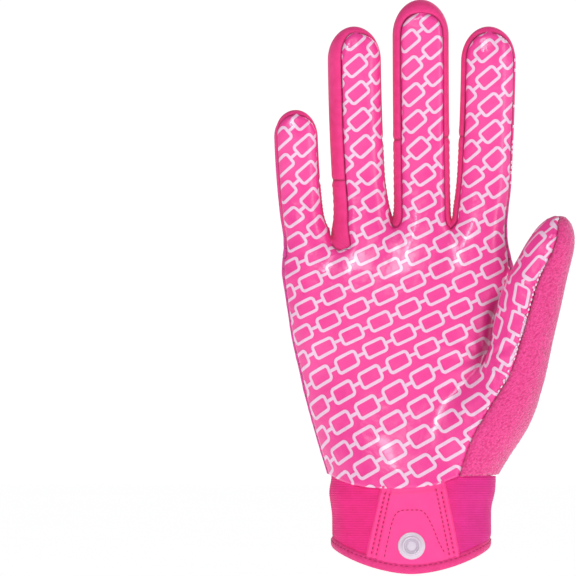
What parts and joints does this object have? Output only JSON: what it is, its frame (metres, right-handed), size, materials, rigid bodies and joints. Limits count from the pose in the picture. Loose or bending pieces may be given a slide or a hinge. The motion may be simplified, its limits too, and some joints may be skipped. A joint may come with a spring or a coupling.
{
  "type": "football receiver glove",
  "caption": "Right-hand grip glove held open as worn: printed palm, knitted back, side strips between fingers, towelling thumb, elastic cuff with snap, and a back strap.",
  "frame": {"origin": "centre of the wrist opening, level with the lowest point of the hem", "axes": "+Z from the wrist to the fingertips, -Y out of the palm, +X towards the thumb side"},
  "size_m": [0.1223, 0.0507, 0.2347],
  "materials": {
    "grip_print": "synthetic leather with a glossy silicone print in pale pink",
    "knit": "knitted mesh with white bands",
    "towelling": "looped pile",
    "jersey": "matt stretch jersey",
    "elastic": "ribbed elastic",
    "soft_leather": "smooth synthetic leather",
    "trim": "folded stretch tape",
    "snap_plastic": "moulded, slightly glossy"
  },
  "bodies": {
    "root": {"palm_panel": "grip_print", "back_panel": "knit", "thumb_towel": "towelling", "gusset_little_ring": "jersey", "gusset_ring_middle": "jersey", "gusset_middle_index": "jersey", "side_strip_little": "jersey", "side_strip_ring": "jersey", "side_strip_middle": "jersey", "side_strip_index": "jersey", "cuff_elastic": "elastic", "cuff_patch": "soft_leather", "hem_binding": "trim", "snap": "snap_plastic", "strap": "soft_leather", "strap_label": "soft_leather", "strap_binding": "trim", "slit_binding": "trim"}
  },
  "joints": []
}
